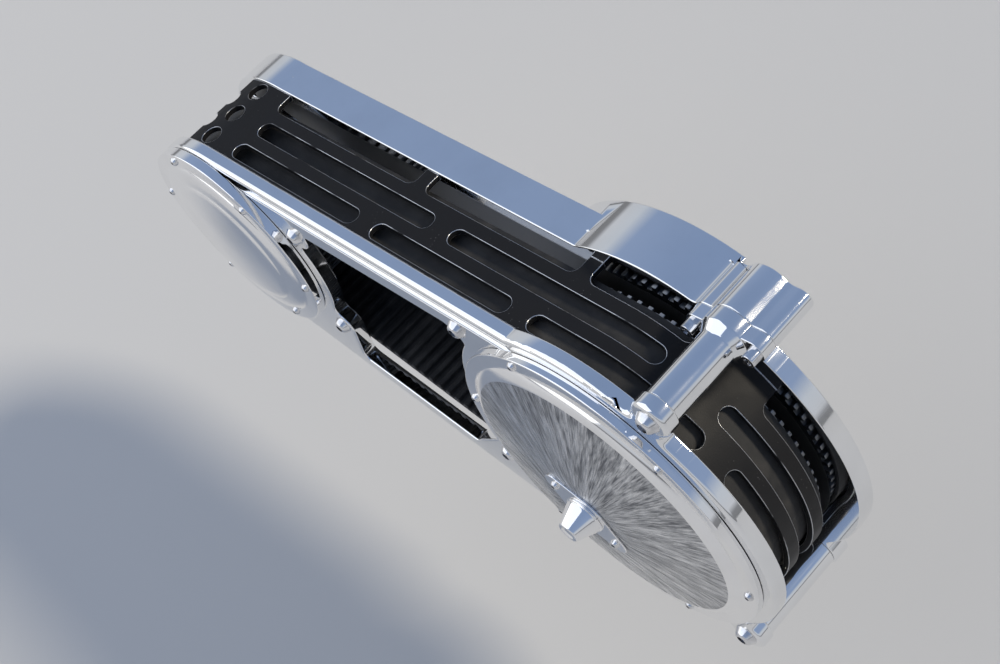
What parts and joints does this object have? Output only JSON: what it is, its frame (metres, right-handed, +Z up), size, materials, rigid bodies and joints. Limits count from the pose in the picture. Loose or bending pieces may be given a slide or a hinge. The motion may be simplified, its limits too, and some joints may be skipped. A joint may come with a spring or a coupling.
{
  "type": "open primary belt drive of a custom motorcycle",
  "caption": "Open primary belt drive: two polished plates round a toothed belt, slotted black guard, stepped front cover, domed rear cover",
  "frame": {"origin": "crankshaft axis in the motor plate's face that bolts to the engine", "axes": "+X rearwards from crankshaft to clutch, +Y inboard along the shafts, +Z up"},
  "size_m": [0.5234, 0.145, 0.2522],
  "materials": {
    "polished_plate": "polished billet aluminium",
    "chromed_cover": "mirror polished, stepped disc",
    "brushed_dome": "radially brushed middle, polished rim",
    "black_guard": "black satin, fine speckle, bright cut edges",
    "belt_rubber": "matt black rubber",
    "gasket": "thin dark gasket",
    "pulley_alloy": "hard anodised alloy",
    "machined_steel": "turned steel"
  },
  "bodies": {
    "housing": {"motor_plate": "polished_plate", "outer_plate": "polished_plate", "standoff_rear_top": "polished_plate", "standoff_rear_bottom": "polished_plate", "post_front": "polished_plate", "post_front_bottom": "polished_plate", "front_cover": "chromed_cover", "rear_cover": "brushed_dome", "nose_flange": "chromed_cover", "nose_cone": "chromed_cover", "front_cover_gasket": "gasket", "rear_cover_gasket": "gasket", "guard": "black_guard", "belt": "belt_rubber", "mainshaft_bearing": "machined_steel"},
    "engine_pulley": {"front_pulley": "pulley_alloy", "front_pulley_flange": "machined_steel", "crank_nut": "machined_steel"},
    "clutch": {"clutch_drum": "pulley_alloy", "clutch_hub": "machined_steel", "clutch_pack": "machined_steel", "pressure_plate": "machined_steel"}
  },
  "joints": [
    {"name": "clutch_spin", "type": "hinge", "parent": "housing", "child": "clutch", "pos_m": [0.33, -0.055, 0], "axis": [0, 1, 0], "continuous": true},
    {"name": "pulley_spin", "type": "hinge", "parent": "housing", "child": "engine_pulley", "pos_m": [0, -0.055, 0], "axis": [0, 1, 0], "continuous": true}
  ],
  "couplings": [
    {"joint": "pulley_spin", "follows": "clutch_spin", "ratio": 1.617}
  ]
}
